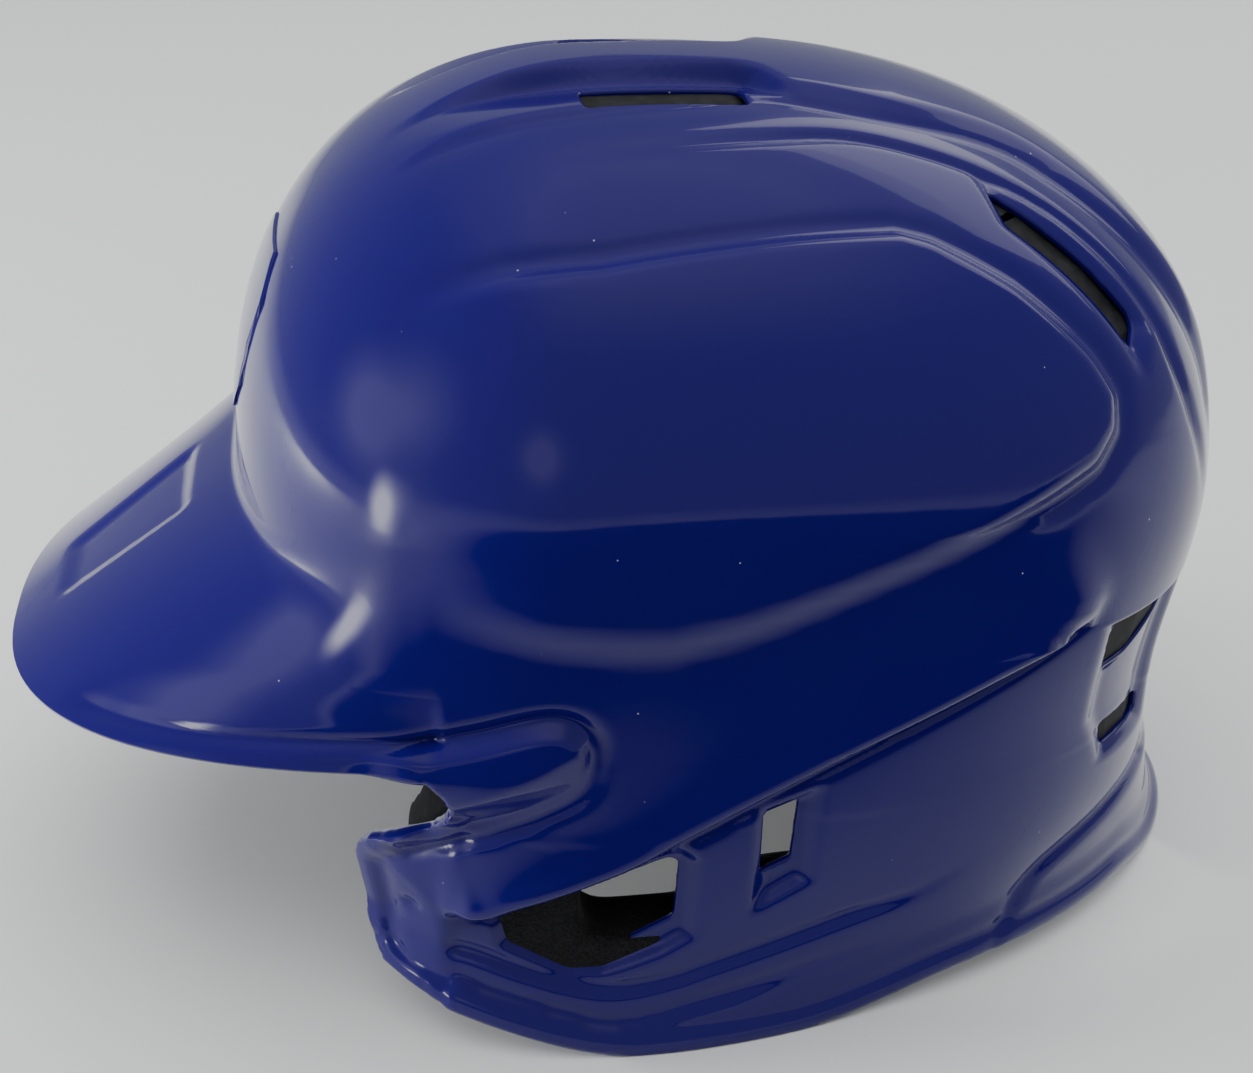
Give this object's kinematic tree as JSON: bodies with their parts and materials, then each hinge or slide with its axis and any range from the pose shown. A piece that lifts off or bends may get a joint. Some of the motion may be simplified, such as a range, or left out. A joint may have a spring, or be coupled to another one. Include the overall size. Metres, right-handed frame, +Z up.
{
  "type": "batting helmet",
  "caption": "Gloss moulded batting helmet with a brim, ear flaps with ear openings, crown and rear vents, foam liner blocks and fabric comfort pads.",
  "frame": {"origin": "on the floor the helmet stands on, under the middle of its whole length and width", "axes": "+Z up, -Y towards the tip of the brim, +X towards the wearer's left"},
  "size_m": [0.2028, 0.3076, 0.208],
  "materials": {
    "gloss_blue": "high gloss injection moulded",
    "liner_foam": "moulded bead foam",
    "pad_fabric": "brushed loop fabric",
    "hook_tape": "hook and loop tape"
  },
  "bodies": {
    "root": {"outer_shell": "gloss_blue", "front_badge": "gloss_blue", "liner_front": "liner_foam", "liner_left": "liner_foam", "liner_right": "liner_foam", "liner_rear": "liner_foam", "liner_crown": "liner_foam", "forehead_pad": "pad_fabric", "left_temple_pad": "pad_fabric", "right_temple_pad": "pad_fabric", "left_side_pad": "pad_fabric", "right_side_pad": "pad_fabric", "nape_pad": "pad_fabric", "rear_pad": "pad_fabric", "crown_pad": "pad_fabric", "left_ear_pad": "pad_fabric", "right_ear_pad": "pad_fabric", "forehead_pad_dot_1": "hook_tape", "forehead_pad_dot_2": "hook_tape", "left_temple_pad_dot_1": "hook_tape", "left_temple_pad_dot_2": "hook_tape", "right_temple_pad_dot_1": "hook_tape", "right_temple_pad_dot_2": "hook_tape", "left_side_pad_dot_1": "hook_tape", "left_side_pad_dot_2": "hook_tape", "right_side_pad_dot_1": "hook_tape", "right_side_pad_dot_2": "hook_tape", "nape_pad_dot_1": "hook_tape", "nape_pad_dot_2": "hook_tape", "rear_pad_dot_1": "hook_tape", "rear_pad_dot_2": "hook_tape", "crown_pad_dot_1": "hook_tape", "crown_pad_dot_2": "hook_tape"}
  },
  "joints": []
}
